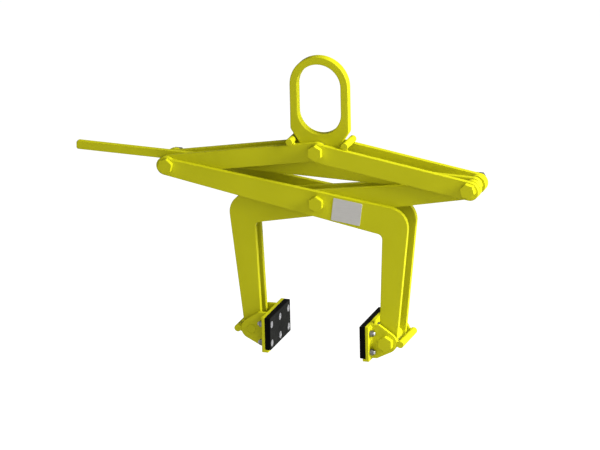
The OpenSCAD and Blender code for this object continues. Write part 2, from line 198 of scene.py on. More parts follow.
class Shade(Graph):
    """A material's tree, with short hands for the nodes that finishes share."""

    def __init__(self, material: bpy.types.Material) -> None:
        """Opens a material's tree.

        Args:
            material: The material, whose nodes are switched on.
        """
        material.use_nodes = True
        super().__init__(material.node_tree)
        self.shader = self.tree.nodes["Principled BSDF"]
        self.output = self.tree.nodes["Material Output"]
        self.place = self.add("ShaderNodeTexCoord").outputs["Object"]

    def noise(self, scale: float, detail: float, place: bpy.types.NodeSocket | None = None) -> bpy.types.NodeSocket:
        """Adds a noise pattern.

        Args:
            scale: Cells for each metre.
            detail: Octaves of finer noise.
            place: Coordinates that it reads, the object's own if left out.

        Returns:
            The pattern's value, about 0.5 in the mean.
        """
        node = self.add("ShaderNodeTexNoise", {"Vector": place or self.place, "Scale": scale, "Detail": detail})
        return node.outputs["Fac"]

    def stretched(self, scale: tuple[float, float, float]) -> bpy.types.NodeSocket:
        """Gives the object's coordinates with each axis scaled."""
        return self.add("ShaderNodeMapping", {"Vector": self.place, "Scale": scale}).outputs["Vector"]

    def spread(self, value: bpy.types.NodeSocket, low: float, high: float) -> bpy.types.NodeSocket:
        """Maps the middle of a pattern's range to low..high and holds it there.

        Args:
            value: The pattern's value.
            low: What MIDDLE's lower end becomes.
            high: What its upper end becomes.

        Returns:
            The mapped value.
        """
        node = self.add("ShaderNodeMapRange", {"Value": value, "From Min": MIDDLE[0], "From Max": MIDDLE[1],
                                               "To Min": low, "To Max": high})
        return node.outputs["Result"]

    def math(self, operation: str, first: object, second: object = 0.0) -> bpy.types.NodeSocket:
        """Adds a sum, product or other rule of two values."""
        return self.add("ShaderNodeMath", {0: first, 1: second}, operation=operation).outputs[0]

    def blend(self, factor: object, first: object, second: object) -> bpy.types.NodeSocket:
        """Mixes two colours.

        Args:
            factor: Share of the second colour.
            first: Colour at 0.
            second: Colour at 1.

        Returns:
            The mixed colour.
        """
        node = self.add("ShaderNodeMix", data_type="RGBA")
        inputs = {socket.identifier: socket for socket in node.inputs}
        self.feed(inputs["Factor_Float"], factor)
        self.feed(inputs["A_Color"], first)
        self.feed(inputs["B_Color"], second)
        return next(s for s in node.outputs if s.identifier == "Result_Color")

    def attribute(self, name: str) -> bpy.types.NodeSocket:
        """Reads a value that the mesh carries."""
        return self.add("ShaderNodeAttribute", attribute_name=name).outputs["Fac"]

    def bump(self, height: bpy.types.NodeSocket, strength: float, depth: float,
             under: bpy.types.NodeSocket | None = None) -> bpy.types.NodeSocket:
        """Adds fine relief.

        Args:
            height: Pattern from 0 to 1.
            strength: Share of the full relief.
            depth: Height of the relief in metres.
            under: Coarser relief that this one lies on.

        Returns:
            The bumped normal.
        """
        inputs = {"Height": height, "Strength": strength, "Distance": depth}
        if under is not None:
            inputs["Normal"] = under
        return self.add("ShaderNodeBump", inputs).outputs["Normal"]

    def relief(self, grain: "Relief", under: bpy.types.NodeSocket | None = None) -> bpy.types.NodeSocket:
        """Adds a finish's fine relief, on coarser relief where that is given."""
        return self.bump(self.noise(*grain.noise), grain.strength, grain.height, under)

    def set(self, **values: object) -> None:
        """Feeds the main shader's sockets, whose names are written with underscores."""
        for name, value in values.items():
            self.feed(self.shader.inputs[name.replace("_", " ")], value)


Colour = tuple[float, float, float, float]
# Cells for each metre, and octaves of finer noise
Noise = tuple[float, float]
WHITE: Colour = (1, 1, 1, 1)


@dataclass(frozen=True)
class Relief:
    """Fine relief of a finish.

    Attributes:
        noise: Its pattern.
        strength: Share of the full relief.
        height: Height of the relief in metres.
    """

    noise: Noise
    strength: float
    height: float


@dataclass(frozen=True)
class MachinePaint:
    """Thick machine paint with a soft gloss and a faint orange peel.

    Attributes:
        colour: Main colour.
        deep: Colour where the coat is thicker.
        patches: Pattern of the thicker coat.
        border: Colour along the edges, darker as a thinner coat there and as painted edge shade.
        border_share: Share of that colour at an edge.
        roughness: Roughness of the coat where it is smoothest and dullest.
        dulling: Pattern of the duller coat.
        peel: The orange peel.
        waves: The slow waves that lie on it.
        gloss: Level of its mirrored light.
    """

    colour: Colour = (0.56, 0.548, 0.004, 1)
    deep: Colour = (0.52, 0.51, 0.003, 1)
    patches: Noise = (7, 3)
    border: Colour = (0.50, 0.49, 0.002, 1)
    border_share: float = 0.6
    roughness: tuple[float, float] = (0.54, 0.68)
    dulling: Noise = (55, 4)
    peel: Relief = Relief((420, 1), 0.06, 0.08 * MM)
    waves: Relief = Relief((38, 1), 0.12, 0.4 * MM)
    gloss: float = 0.2

    def material(self, name: str) -> bpy.types.Material:
        """Builds the paint's material.

        Args:
            name: Name of the material.

        Returns:
            The material.
        """
        material = bpy.data.materials.new(name)
        shade = Shade(material)
        body = shade.blend(shade.spread(shade.noise(*self.patches), 0, 1), self.colour, self.deep)
        # Painted edge shade: the edge value blends the darker border colour over every eased edge, as a thinner coat
        # there too
        edge = shade.math("MULTIPLY", shade.attribute(EDGE_LAYER), self.border_share)
        shade.set(Base_Color=shade.blend(edge, body, self.border),
                  Roughness=shade.spread(shade.noise(*self.dulling), *self.roughness),
                  Normal=shade.relief(self.waves, shade.relief(self.peel)), Specular_IOR_Level=self.gloss)
        return material


@dataclass(frozen=True)
class ZincPlate:
    """Zinc-plated steel with a soft mottled lustre.

    Attributes:
        colour: Main colour of the plating.
        stain: Colour of its darker mottles.
        roughness: Roughness at its brightest and dullest.
        mottles: Pattern of the mottles.
        dulling: Pattern of the duller plating.
        grain: Its fine grain.
        metal: Share of metal in its look.
    """

    colour: Colour
    stain: Colour
    roughness: tuple[float, float] = (0.28, 0.46)
    mottles: Noise = (160, 4)
    dulling: Noise = (300, 3)
    grain: Relief = Relief((1400, 2), 0.25, 0.05 * MM)
    metal: float = 0.9

    def material(self, name: str) -> bpy.types.Material:
        """Builds the plating's material.

        Args:
            name: Name of the material.

        Returns:
            The material.
        """
        material = bpy.data.materials.new(name)
        shade = Shade(material)
        mottle = shade.spread(shade.noise(*self.mottles), 0, 1)
        shade.set(Base_Color=shade.blend(mottle, self.colour, self.stain),
                  Roughness=shade.spread(shade.noise(*self.dulling), *self.roughness),
                  Normal=shade.relief(self.grain), Metallic=self.metal)
        return material


@dataclass(frozen=True)
class MouldedRubber:
    """Matt moulded rubber whose gripping face is painted paler than its sides, as painted light, with patchy
    scuffing.

    Attributes:
        colour: Colour of the moulded sides.
        scuffed: Colour of the gripping face, paler as painted light, with scuffing.
        scuffs: Pattern of patches in that painted light and scuffing.
        scuff_share: Share of the paler colour, painted light with scuffing, at its least and most.
        roughness: Roughness at its smoothest and dullest.
        dulling: Pattern of the duller rubber.
        grain: Its fine grain.
        dents: The shallow dents that lie on it.
        gloss: Level of its mirrored light.
    """

    colour: Colour = (0.002, 0.002, 0.002, 1)
    scuffed: Colour = (0.012, 0.0125, 0.0115, 1)
    scuffs: Noise = (60, 5)
    scuff_share: tuple[float, float] = (0.7, 1.1)
    roughness: tuple[float, float] = (0.58, 0.8)
    dulling: Noise = (220, 3)
    grain: Relief = Relief((900, 3), 0.5, 0.25 * MM)
    dents: Relief = Relief((90, 2), 0.3, 0.4 * MM)
    gloss: float = 0.05

    def material(self, name: str) -> bpy.types.Material:
        """Builds the rubber's material.

        Args:
            name: Name of the material.

        Returns:
            The material.
        """
        material = bpy.data.materials.new(name)
        shade = Shade(material)
        # Painted light: the gripping face is paler, in patches of scuffing, and fades to the darker sides over its
        # edge
        lit_scuff = shade.math("MULTIPLY", shade.attribute(EDGE_LAYER),
                           shade.spread(shade.noise(*self.scuffs), *self.scuff_share))
        shade.set(Base_Color=shade.blend(lit_scuff, self.colour, self.scuffed),
                  Roughness=shade.spread(shade.noise(*self.dulling), *self.roughness),
                  Normal=shade.relief(self.dents, shade.relief(self.grain)), Specular_IOR_Level=self.gloss)
        return material


@dataclass(frozen=True)
class BrushedPlate:
    """Bare aluminium brushed along X.

    Attributes:
        colour: Main colour.
        streak: Colour of the darker brush lines.
        lines: Cells of the brush lines for each metre along each axis, and their octaves.
        clouds: Pattern of the cloudy patches over them.
        shares: Shares of lines and clouds in the colour.
        roughness: Roughness at its brightest and dullest.
        groove: Strength and depth of the brush lines.
        metal: Share of metal in its look.
    """

    colour: Colour = (0.66, 0.64, 0.60, 1)
    streak: Colour = (0.57, 0.555, 0.525, 1)
    lines: tuple[tuple[float, float, float], float] = ((25, 400, 2200), 3)
    clouds: Noise = (30, 3)
    shares: tuple[float, float] = (0.6, 0.4)
    roughness: tuple[float, float] = (0.38, 0.52)
    groove: tuple[float, float] = (0.2, 0.04 * MM)
    metal: float = 0.35

    def material(self, name: str) -> bpy.types.Material:
        """Builds the brushed metal's material.

        Args:
            name: Name of the material.

        Returns:
            The material.
        """
        material = bpy.data.materials.new(name)
        shade = Shade(material)
        cells, octaves = self.lines
        lines = shade.noise(1, octaves, shade.stretched(cells))
        clouds = shade.noise(*self.clouds)
        both = [shade.math("MULTIPLY", pattern, share) for pattern, share in zip((lines, clouds), self.shares)]
        tone = shade.spread(shade.math("ADD", *both), 0, 1)
        shade.set(Base_Color=shade.blend(tone, self.colour, self.streak), Metallic=self.metal,
                  Roughness=shade.spread(clouds, *self.roughness), Normal=shade.bump(lines, *self.groove))
        return material


FINISHES = {
    Slot.PAINT: MachinePaint(),
    Slot.ZINC: ZincPlate((0.20, 0.20, 0.205, 1), (0.13, 0.13, 0.135, 1)),
    Slot.BRIGHT_ZINC: ZincPlate((0.60, 0.60, 0.61, 1), (0.50, 0.50, 0.52, 1), (0.42, 0.55)),
    Slot.RUBBER: MouldedRubber(),
    Slot.PLATE_GREY: BrushedPlate(),
}
MATERIALS = {slot: finish.material(f"{slot.value}_finish") for slot, finish in FINISHES.items()}


class Recipe(Graph):
    """A Geometry Nodes tree with named inputs, applied to a mesh and then taken off it.

    Attributes:
        sockets: Outputs of the group input, by the input's name.
        identifiers: Identifiers of the modifier's inputs, by the input's name.
    """

    KINDS = {float: "NodeSocketFloat", int: "NodeSocketInt", bpy.types.Material: "NodeSocketMaterial"}

    def __init__(self, name: str, inputs: dict[str, type]) -> None:
        """Starts a tree with a mesh and named values as its inputs.

        Args:
            name: Name of the tree.
            inputs: Kind of each value, by the input's name.
        """
        super().__init__(bpy.data.node_groups.new(name, "GeometryNodeTree"))
        interface = self.tree.interface
        interface.new_socket("Geometry", in_out="INPUT", socket_type="NodeSocketGeometry")
        self.identifiers = {
            label: interface.new_socket(label, in_out="INPUT", socket_type=self.KINDS[kind]).identifier
            for label, kind in inputs.items()
        }
        interface.new_socket("Geometry", in_out="OUTPUT", socket_type="NodeSocketGeometry")
        self.sockets = self.add("NodeGroupInput").outputs

    def math(self, operation: str, first: object, second: object = 0.0, third: object = 0.0,
             clamp: bool = False) -> bpy.types.NodeSocket:
        """Adds a rule of up to three values.

        Args:
            operation: Blender's name for the rule.
            first: First value.
            second: Second value.
            third: Third value.
            clamp: Whether the result is held between 0 and 1.

        Returns:
            The rule's result.
        """
        node = self.add("ShaderNodeMath", {0: first, 1: second, 2: third}, operation=operation, use_clamp=clamp)
        return node.outputs[0]

    def close(self, geometry: bpy.types.NodeSocket) -> None:
        """Ends the tree: instances become real, and all of it takes the material input.

        Args:
            geometry: What comes out of the tree.
        """
        real = self.add("GeometryNodeRealizeInstances", {"Geometry": geometry}).outputs[0]
        dressed = self.add("GeometryNodeSetMaterial", {"Geometry": real, "Material": self.sockets["Material"]})
        self.add("NodeGroupOutput", {"Geometry": dressed.outputs[0]})

    def apply(self, mesh: bpy.types.Mesh, values: dict[str, object]) -> bpy.types.Mesh:
        """Runs the tree on a mesh.

        Args:
            mesh: What goes into the tree.
            values: The inputs' values, by name.

        Returns:
            The plain mesh that comes out.
        """
        carrier = bpy.data.objects.new("carrier", mesh)
        bpy.context.scene.collection.objects.link(carrier)
        modifier = carrier.modifiers.new("recipe", "NODES")
        modifier.node_group = self.tree
        for label, value in values.items():
            modifier[self.identifiers[label]] = value
        made = baked(carrier)
        bpy.data.objects.remove(carrier)
        return made


def baked(carrier: bpy.types.Object) -> bpy.types.Mesh:
    """Gives an object's mesh with its modifiers applied.

    Args:
        carrier: The object, linked to the scene.

    Returns:
        The plain mesh.
    """
    carrier.data.update()
    bpy.context.view_layer.update()
    graph = bpy.context.evaluated_depsgraph_get()
    return bpy.data.meshes.new_from_object(carrier.evaluated_get(graph), depsgraph=graph)


class Threading(Recipe):
    """A helical ridge, wound on a shank about Z from the origin upwards.

    Attributes:
        SIDES: Sides of the ridge's section.
        RIDGE: Radius of that section, as a share of the pitch.
    """

    SIDES = 3
    RIDGE = 0.38

    def __init__(self) -> None:
        """Builds the tree."""
        super().__init__("thread_ridge", {"Shank Radius": float, "Pitch": float, "Turns": float,
                                          "Steps": int, "Material": bpy.types.Material})
        helix = self.add("GeometryNodeCurveSpiral", {
            "Resolution": self.sockets["Steps"],
            "Rotations": self.sockets["Turns"],
            "Start Radius": self.sockets["Shank Radius"],
            "End Radius": self.sockets["Shank Radius"],
            "Height": self.math("MULTIPLY", self.sockets["Pitch"], self.sockets["Turns"]),
        })
        ridge = self.add("GeometryNodeCurvePrimitiveCircle", {
            "Resolution": self.SIDES, "Radius": self.math("MULTIPLY", self.sockets["Pitch"], self.RIDGE)})
        wound = self.add("GeometryNodeCurveToMesh", {"Curve": helix.outputs[0], "Profile Curve": ridge.outputs[0],
                                                     "Fill Caps": True})
        joined = self.add("GeometryNodeJoinGeometry")
        self.feed(joined.inputs[0], wound.outputs[0])
        self.feed(joined.inputs[0], self.sockets["Geometry"])
        self.close(joined.outputs[0])


class ScrewGrid(Recipe):
    """Copies of one fastener on a grid of columns and rows in the XY plane."""

    def __init__(self) -> None:
        """Builds the tree."""
        super().__init__("fastener_grid", {"Pitch": float, "Row Spacing": float, "Columns": int, "Rows": int,
                                           "Material": bpy.types.Material})
        wide = self.math("MULTIPLY", self.sockets["Pitch"], self.math("SUBTRACT", self.sockets["Columns"], 1.0))
        high = self.math("MULTIPLY", self.sockets["Row Spacing"], self.math("SUBTRACT", self.sockets["Rows"], 1.0))
        grid = self.add("GeometryNodeMeshGrid", {"Size X": wide, "Size Y": high,
                                                 "Vertices X": self.sockets["Columns"],
                                                 "Vertices Y": self.sockets["Rows"]})
        copies = self.add("GeometryNodeInstanceOnPoints", {"Points": grid.outputs["Mesh"],
                                                           "Instance": self.sockets["Geometry"]})
        self.close(copies.outputs[0])


class WeldBead(Recipe):
    """A rippled weld bead along the edges of the mesh that goes in.

    Attributes:
        SIDES: Sides of the bead's section.
        RIPPLE_STEPS: Points along one ripple.
        TIP: Width of the bead at its very ends, as a share of its full width.
    """

    SIDES = 10
    RIPPLE_STEPS = 4
    TIP = 0.6

    def __init__(self) -> None:
        """Builds the tree."""
        super().__init__("weld_bead", {"Bead Radius": float, "Ripple Pitch": float, "Ripple Depth": float,
                                       "Material": bpy.types.Material})
        run = self.add("GeometryNodeMeshToCurve", {"Mesh": self.sockets["Geometry"]})
        pitch = self.sockets["Ripple Pitch"]
        fine = self.add("GeometryNodeResampleCurve", {"Curve": run.outputs[0],
                                                      "Length": self.math("DIVIDE", pitch, self.RIPPLE_STEPS)},
                        mode="LENGTH")
        along = self.add("GeometryNodeSplineParameter").outputs["Length"]
        whole = self.add("GeometryNodeSplineLength").outputs["Length"]
        ripple = self.math("FRACT", self.math("DIVIDE", along, pitch))
        swell = self.math("SUBTRACT", 1.0, self.math("MULTIPLY", ripple, self.sockets["Ripple Depth"]))
        to_end = self.math("MINIMUM", along, self.math("SUBTRACT", whole, along))
        taper = self.math("MULTIPLY_ADD", self.math("DIVIDE", to_end, self.sockets["Bead Radius"]),
                          1 - self.TIP, self.TIP, clamp=True)
        ring = self.add("GeometryNodeCurvePrimitiveCircle", {"Resolution": self.SIDES,
                                                             "Radius": self.sockets["Bead Radius"]})
        bead = self.add("GeometryNodeCurveToMesh", {"Curve": fine.outputs[0], "Profile Curve": ring.outputs[0],
                                                    "Scale": self.math("MULTIPLY", swell, taper),
                                                    "Fill Caps": True})
        self.close(bead.outputs[0])


THREADING = Threading()
SCREW_GRID = ScrewGrid()
WELD_BEAD = WeldBead()


def finished(name: str, shells: Iterable[bpy.types.Mesh]) -> bpy.types.Mesh:
    """Joins closed shells into one mesh that shades smoothly between its sharp edges.

    Args:
        name: Name of the mesh.
        shells: The shells, in the frame's place.

    Returns:
        The mesh, its faces pointing outwards, with weighted normals.
    """
    whole = bmesh.new()
    for shell in shells:
        whole.from_mesh(shell)
    bmesh.ops.recalc_face_normals(whole, faces=whole.faces)
    for face in whole.faces:
        face.smooth = True
    mesh = plain_mesh(whole, name)
    mesh.set_sharp_from_angle(angle=SHARP_ANGLE)
    carrier = bpy.data.objects.new(name, mesh)
    bpy.context.scene.collection.objects.link(carrier)
    modifier = carrier.modifiers.new("normals", "WEIGHTED_NORMAL")
    modifier.keep_sharp = True
    made = baked(carrier)
    bpy.data.objects.remove(carrier)
    return made


def plain_mesh(shape: bmesh.types.BMesh, name: str = "shell") -> bpy.types.Mesh:
    """Writes a built shape to a mesh and frees it.

    Args:
        shape: The shape, which is gone afterwards.
        name: Name of the mesh.

    Returns:
        The mesh.
    """
    mesh = bpy.data.meshes.new(name)
    shape.to_mesh(mesh)
    shape.free()
    return mesh


def place(name: str, shells: Iterable[bpy.types.Mesh], slot: Slot, body: str,
          nodes: Sequence[str] = ()) -> bpy.types.Object:
    """Makes one piece and puts it on its body.

    Args:
        name: Name of the piece.
        shells: Its closed shells, in the frame's place.
        slot: The finish that it takes.
        body: The body that it rides on.
        nodes: The nodes that it stands for.

    Returns:
        The piece.
    """
    mesh = finished(name, shells)
    mesh.materials.clear()
    mesh.materials.append(MATERIALS[slot])
    piece = bpy.data.objects.new(name, mesh)
    bpy.context.scene.collection.objects.link(piece)
    if nodes:
        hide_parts(*nodes)
    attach(piece, body)
    log.info("%s: %d faces on %s", name, len(mesh.polygons), body)
    return piece


def body_of(node: str) -> str:
    """Names the body that carries a node."""
    return frame["nodes"][node]["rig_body"]


Loop = list[Vector]


def area_of(loop: Loop) -> float:
    """Gives a flat loop's area, above zero where it runs anticlockwise."""
    return sum(a.x * b.y - b.x * a.y for a, b in zip(loop, loop[1:] + loop[:1])) / 2


def inset(loop: Loop, distance: float) -> Loop:
    """Moves a loop to its left by a distance, mitred at its corners.

    Args:
        loop: The flat loop.
        distance: How far it moves.

    Returns:
        The moved loop.
    """
    moved = []
    for before, here, after in zip(loop[-1:] + loop[:-1], loop, loop[1:] + loop[:1]):
        into, out = (here - before).normalized(), (after - here).normalized()
        left_in, left_out = Vector((-into.y, into.x)), Vector((-out.y, out.x))
        moved.append(here + (left_in + left_out) * (distance / (1 + left_in.dot(left_out))))
    return moved


def rounded_corners(corners: Sequence[tuple[float, float]], radius: float, steps: int = 6) -> Loop:
    """Rounds every corner of an anticlockwise outline.

    Args:
        corners: The sharp outline.
        radius: Radius of the rounding.
        steps: Edges of each rounded corner.

    Returns:
        The outline's points.
    """
    points = [Vector(c) for c in corners]
    made = []
    for before, here, after in zip(points[-1:] + points[:-1], points, points[1:] + points[:1]):
        back, on = (before - here).normalized(), (after - here).normalized()
        half = back.angle(on) / 2
        centre = here + (back + on).normalized() * (radius / math.sin(half))
        start, end = here + back * (radius / math.tan(half)) - centre, here + on * (radius / math.tan(half)) - centre
        turn = start.angle_signed(end)
        made += [centre + Matrix.Rotation(-turn * i / steps, 2) @ start for i in range(steps + 1)]
    return made


class Outline:
    """The outer loop and the holes of a flat face.

    Attributes:
        loops: The outer loop anticlockwise, then the holes clockwise, so that metal lies to the left.
        start: Place of the plate's one face along its normal.
        end: Place of its other face.
    """

    def __init__(self, loops: Iterable[Loop], start: float, end: float) -> None:
        """Sorts the loops and turns each the right way round.

        Args:
            loops: The loops in any order and direction.
            start: Place of the plate's one face.
            end: Place of its other face.
        """
        by_size = sorted(loops, key=lambda loop: -abs(area_of(loop)))
        self.loops = [loop if (area_of(loop) > 0) == (i == 0) else loop[::-1] for i, loop in enumerate(by_size)]
        self.start = start
        self.end = end

    @classmethod
    def of_node(cls, node: str) -> "Outline":
        """Reads the outline of a node that is flat at both ends of its Y range.

        Args:
            node: The node, a plate with faces square to Y.

        Returns:
            Its outline, with X and Z as the flat coordinates.
        """
        low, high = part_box(node)
        copy = bmesh.new()
        copy.from_mesh(frame["nodes"][node].data)
        bmesh.ops.remove_doubles(copy, verts=copy.verts, dist=MERGE)
        end = {f for f in copy.faces if all(abs(v.co.y - low.y) < ON_FACE for v in f.verts)}
        beside: dict[bmesh.types.BMVert, list[bmesh.types.BMVert]] = {}
        for edge in copy.edges:
            if sum(face in end for face in edge.link_faces) == 1:
                for vert in edge.verts:
                    beside.setdefault(vert, []).append(edge.other_vert(vert))
        loops, left = [], set(beside)
        while left:
            walk = [left.pop()]
            while True:
                onward = [v for v in beside[walk[-1]] if v in left]
                if not onward:
                    break
                walk.append(onward[0])
                left.discard(onward[0])
            loops.append([Vector((v.co.x, v.co.z)) for v in walk])
        copy.free()
        return cls(loops, low.y, high.y)


# Flat coordinates and depth to the frame's axes, for plates that are square to Y
ALONG_Y = Matrix(((1, 0, 0, 0), (0, 0, 1, 0), (0, 1, 0, 0), (0, 0, 0, 1)))


@dataclass(frozen=True)
class EdgedPlate:
    """A flat-cut plate whose edges are eased over and whose faces have a thin border.

    Attributes:
        outline: The plate's loops and faces.
        ease: Radius of the eased edges.
        border: Width of the border inside them, over which the edge value fades, and with it the paint's painted edge
            shade.
        steps: Faces across an eased edge.
    """

    outline: Outline
    ease: float = 1.2 * MM
    border: float = 1.6 * MM
    steps: int = 3

    def rings(self) -> list[tuple[float, float, float]]:
        """Lists the rings from one face to the other, as inset, depth and edge value.

        Returns:
            The rings.
        """
        over = [(self.ease + self.border, 0.0, 0.0)]
        over += [(self.ease * (1 - math.sin(t)), self.ease * (1 - math.cos(t)), 1.0) for t in quarter(self.steps)]
        near = [(side, self.outline.start + depth, value) for side, depth, value in over]
        far = [(side, self.outline.end - depth, value) for side, depth, value in reversed(over)]
        return near + far

    def mesh(self) -> bpy.types.Mesh:
        """Builds the plate's mesh.

        Returns:
            The closed mesh, with its edge values.
        """
        shape = bmesh.new()
        layer = shape.verts.layers.float.new(EDGE_LAYER)
        rims: tuple[list[bmesh.types.BMEdge], list[bmesh.types.BMEdge]] = ([], [])
        for loop in self.outline.loops:
            rows = ring_rows(shape, layer, loop, self.rings(), ALONG_Y)
            for rim, row in zip(rims, (rows[0], rows[-1])):
                rim += rim_edges(shape, row)
        for rim in rims:
            bmesh.ops.triangle_fill(shape, edges=rim, use_beauty=True, use_dissolve=False)
        return plain_mesh(shape)


def place_plate(node: str, ease: float = 1.2 * MM, border: float = 1.6 * MM, slot: Slot = Slot.PAINT) -> None:
    """Replaces a flat node by the same plate with eased edges.

    Args:
        node: The node.
        ease: Radius of its eased edges.
        border: Width of the border inside them.
        slot: The finish that it takes.
    """
    plate = EdgedPlate(Outline.of_node(node), ease, border)
    place(f"{node}_plate" if not node.endswith("plate") else f"{node}_face", [plate.mesh()], slot, body_of(node),
          [node])


def ring_rows(shape: bmesh.types.BMesh, layer: bmesh.types.BMLayerItem, loop: Loop,
              rings: Iterable[tuple[float, float, float]], to_frame: Matrix) -> list[list[bmesh.types.BMVert]]:
    """Draws a loop at each ring and joins the rows of points by faces.

    Args:
        shape: The mesh under construction.
        layer: Its layer of edge values.
        loop: The flat loop.
        rings: Inset, depth and edge value of each row.
        to_frame: Turns flat coordinates and depth into the frame's axes.

    Returns:
        The rows.
    """
    rows = []
    for side, depth, value in rings:
        rows.append([shape.verts.new(to_frame @ Vector((p.x, p.y, depth))) for p in inset(loop, side)])
        for vert in rows[-1]:
            vert[layer] = value
    bridge(shape, rows)
    return rows


def bridge(shape: bmesh.types.BMesh, rows: Sequence[Sequence[bmesh.types.BMVert]]) -> None:
    """Joins each closed row of points to the next one by faces.

    Args:
        shape: The mesh under construction.
        rows: The rows, all with as many points.
    """
    for near, far in zip(rows, rows[1:]):
        for i in range(len(near)):
            j = (i + 1) % len(near)
            shape.faces.new((near[i], near[j], far[j], far[i]))


def rim_edges(shape: bmesh.types.BMesh, row: Sequence[bmesh.types.BMVert]) -> list[bmesh.types.BMEdge]:
    """Finds the edges along a closed row of points."""
    return [shape.edges.get((a, b)) for a, b in zip(row, list(row[1:]) + [row[0]])]


def angles(steps: int) -> list[float]:
    """Lists the angles of even steps round a circle."""
    return [2 * math.pi * i / steps for i in range(steps)]


def quarter(steps: int) -> list[float]:
    """Lists the angles of even steps over a quarter turn, both ends included."""
    return [math.pi / 2 * i / steps for i in range(steps + 1)]


def turned(profile: Sequence[tuple[float, float]], to_frame: Matrix, steps: int = 64,
           closed: bool = False) -> bpy.types.Mesh:
    """Turns a profile about an axis.

    Args:
        profile: Points as radius and place along the axis.
        to_frame: Puts the turned piece, drawn about Z, in its place.
        steps: Faces round the axis.
        closed: Whether the profile is a closed ring, as in a tube, and not a line between two poles.

    Returns:
        The closed mesh.
    """
    shape = bmesh.new()
    rows = []
    for radius, along in profile:
        count = steps if radius > 0 else 1
        rows.append([shape.verts.new(to_frame @ Vector((radius * math.cos(a), radius * math.sin(a), along)))
                     for a in angles(steps)[:count]])
    pairs = list(zip(rows, rows[1:] + rows[:1])) if closed else list(zip(rows, rows[1:]))
    for near, far in pairs:
        for i in range(steps):
            j = (i + 1) % steps
            corners = [near[i % len(near)], near[j % len(near)], far[j % len(far)], far[i % len(far)]]
            shape.faces.new(list(dict.fromkeys(corners)))
    return plain_mesh(shape)


def eased(profile: Sequence[tuple[float, float]], radius: float, steps: int = 3) -> list[tuple[float, float]]:
    """Rounds the inner corners of a turned profile, leaving its two ends as they are.

    Args:
        profile: Points as radius and place along the axis.
        radius: How far a rounding reaches from its corner.
        steps: Edges of each rounding.

    Returns:
        The rounded profile.
    """
    points = [Vector(p) for p in profile]
    made = [tuple(points[0])]
    for before, here, after in zip(points, points[1:], points[2:]):
        back, on = before - here, after - here
        reach = min(radius, back.length / 2, on.length / 2)
        start, end = here + back.normalized() * reach, here + on.normalized() * reach
        for i in range(steps + 1):
            t = i / steps
            made.append(tuple(start * (1 - t) ** 2 + here * 2 * t * (1 - t) + end * t ** 2))
    return made + [tuple(points[-1])]


def bar(start: float, end: float, radius: float, to_frame: Matrix, ease: float = 0.8 * MM) -> bpy.types.Mesh:
    """Makes a round bar with eased ends, drawn along Z.

    Args:
        start: Place of its one end.
        end: Place of its other end.
        radius: Its radius.
        to_frame: Puts it in its place.
        ease: Radius of its eased ends.

    Returns:
        The closed mesh.
    """
    return turned(eased([(0, start), (radius, start), (radius, end), (0, end)], ease), to_frame)


def tube(start: float, end: float, bore: float, radius: float, to_frame: Matrix,
         ease: float = 0.5 * MM) -> bpy.types.Mesh:
    """Makes a tube with eased outer edges, drawn along Z.

    Args:
        start: Place of its one end.
        end: Place of its other end.
        bore: Radius of its bore.
        radius: Outer radius.
        to_frame: Puts it in its place.
        ease: Radius of its eased edges.

    Returns:
        The closed mesh.
    """
    outer = eased([(bore, start), (radius, start), (radius, end), (bore, end)], ease)
    return turned(outer, to_frame, closed=True)


def wrapped(columns: Sequence[Sequence[tuple[float, float]]], to_frame: Matrix,
            bored: bool = False) -> bpy.types.Mesh:
    """Makes a shell from its radius and height at each even step round Z.

    Args:
        columns: The points of each step, from one cap to the other.
        to_frame: Puts the shell in its place.
        bored: Whether each column is a closed ring round a bore, so that there are no caps.

    Returns:
        The closed mesh.
    """
    shape = bmesh.new()
    lines = [[shape.verts.new(to_frame @ Vector((r * math.cos(angle), r * math.sin(angle), z))) for r, z in column]
             for angle, column in zip(angles(len(columns)), columns)]
    tall = len(lines[0])
    for near, far in zip(lines, lines[1:] + lines[:1]):
        for k in range(tall if bored else tall - 1):
            shape.faces.new((near[k], far[k], far[(k + 1) % tall], near[(k + 1) % tall]))
    if not bored:
        for k in (0, tall - 1):
            shape.faces.new([line[k] for line in lines])
    return plain_mesh(shape)


def hexagon_radius(across: float, angle: float) -> float:
    """Gives the radius of a hexagon with slightly blunted corners at an angle from a corner.

    Args:
        across: Width across flats.
        angle: Angle from a corner.

    Returns:
        The radius there.
    """
    sector = 2 * math.pi / HEX_SIDES
    from_flat = angle % sector - sector / 2
    blunt = BLUNTED / math.cos(sector / 2)
    return across / 2 * min(1 / math.cos(from_flat), blunt)


